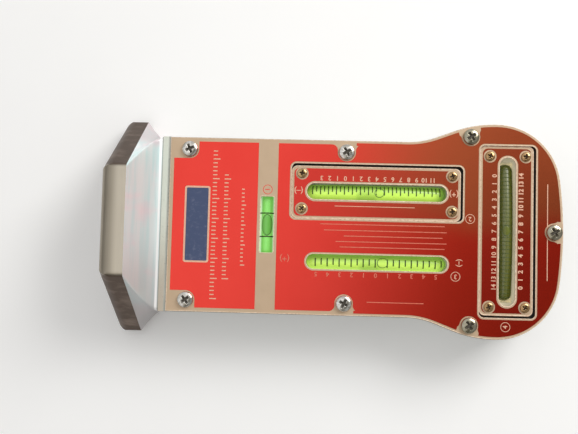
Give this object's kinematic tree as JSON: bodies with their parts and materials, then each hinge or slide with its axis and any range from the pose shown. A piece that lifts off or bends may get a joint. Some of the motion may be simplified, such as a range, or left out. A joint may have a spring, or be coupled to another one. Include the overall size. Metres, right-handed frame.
{
  "type": "camber caster gauge",
  "caption": "Magnetic wheel alignment gauge: flared hub head with a centring pin, paddle body, curved camber, castor and kingpin vials and a cross level.",
  "frame": {"origin": "centre of the magnetic hub face, on the hub axis", "axes": "+X from the hub face along the gauge to the end of the paddle, +Z out of the printed face, +Y across the gauge, which is up in the picture"},
  "size_m": [0.23, 0.1118, 0.0588],
  "materials": {
    "cast_housing": "rough cast, sand texture",
    "polished_head": "polished, with brushed reflections",
    "pole_steel": "satin, warm tone",
    "dark_screws": "black oxide",
    "bright_screws": "bright plated",
    "magnet": "dark ferrite, stood in by a matt dark finish",
    "brass": "turned",
    "spring_steel": "drawn wire",
    "bracket_steel": "zinc plated sheet",
    "bare_plate": "satin anodised, warm tone",
    "red_print": "red enamel print on the plate",
    "white_bed": "moulded",
    "vial_fluid": "glass vial with yellow green liquid",
    "dark_vial_fluid": "glass vial with olive liquid",
    "level_fluid": "glass vial with light green liquid"
  },
  "bodies": {
    "gauge": {"housing": "cast_housing", "hub_head": "polished_head", "head_screws": "dark_screws", "pole_plate": "pole_steel", "pole_plate_screws": "bright_screws", "pole_core": "pole_steel", "ring_magnet": "magnet", "pin_bush": "brass", "pin_spring": "spring_steel", "face_plate": "bare_plate", "face_enamel": "red_print", "face_plate_screws": "bright_screws", "level_vial": "level_fluid", "level_vial_seat": "white_bed", "camber_vial": "vial_fluid", "camber_vial_bed": "white_bed", "bed_screws": "bright_screws", "castor_plate": "bare_plate", "castor_enamel": "red_print", "castor_plate_screws": "bright_screws", "castor_pivot_pin": "bright_screws", "castor_bracket": "bracket_steel", "castor_bracket_screws": "bright_screws", "castor_spring": "spring_steel", "kingpin_plate": "bare_plate", "kingpin_enamel": "red_print", "kingpin_plate_screws": "bright_screws", "kingpin_pivot_pin": "bright_screws", "kingpin_bracket": "bracket_steel", "kingpin_bracket_screws": "bright_screws", "kingpin_spring": "spring_steel"},
    "centring_pin": {"centring_pin": "bright_screws"},
    "castor_carrier": {"castor_carrier": "white_bed", "castor_vial": "vial_fluid", "castor_nut": "brass"},
    "castor_bolt": {"castor_bolt": "brass"},
    "kingpin_carrier": {"kingpin_carrier": "white_bed", "kingpin_vial": "dark_vial_fluid", "kingpin_nut": "brass"},
    "kingpin_bolt": {"kingpin_bolt": "brass"}
  },
  "joints": [
    {"name": "pin_slide", "type": "slide", "parent": "gauge", "child": "centring_pin", "axis": [1, 0, 0], "range_m": [0, 0.003], "stiffness_N_per_m": 500, "springref_m": -0.003, "deforming": ["pin_spring"]},
    {"name": "castor_tilt", "type": "hinge", "parent": "gauge", "child": "castor_carrier", "pos_m": [0.0933, 0.018, -0.005], "axis": [0, 1, 0], "range_deg": [-1.2, 1.2], "deforming": ["castor_spring"]},
    {"name": "castor_bolt_turn", "type": "hinge", "parent": "gauge", "child": "castor_bolt", "pos_m": [0.1749, 0.018, -0.0086], "axis": [0, 0, 1], "range_deg": [-779, 779]},
    {"name": "kingpin_tilt", "type": "hinge", "parent": "gauge", "child": "kingpin_carrier", "pos_m": [0.1992, -0.0408, -0.005], "axis": [-1, 0, 0], "range_deg": [-1.2, 1.2], "deforming": ["kingpin_spring"]},
    {"name": "kingpin_bolt_turn", "type": "hinge", "parent": "gauge", "child": "kingpin_bolt", "pos_m": [0.1992, 0.0408, -0.0086], "axis": [0, 0, 1], "range_deg": [-779, 779]}
  ],
  "couplings": [
    {"joint": "castor_bolt_turn", "follows": "castor_tilt", "ratio": 640.88},
    {"joint": "kingpin_bolt_turn", "follows": "kingpin_tilt", "ratio": 640.88}
  ]
}
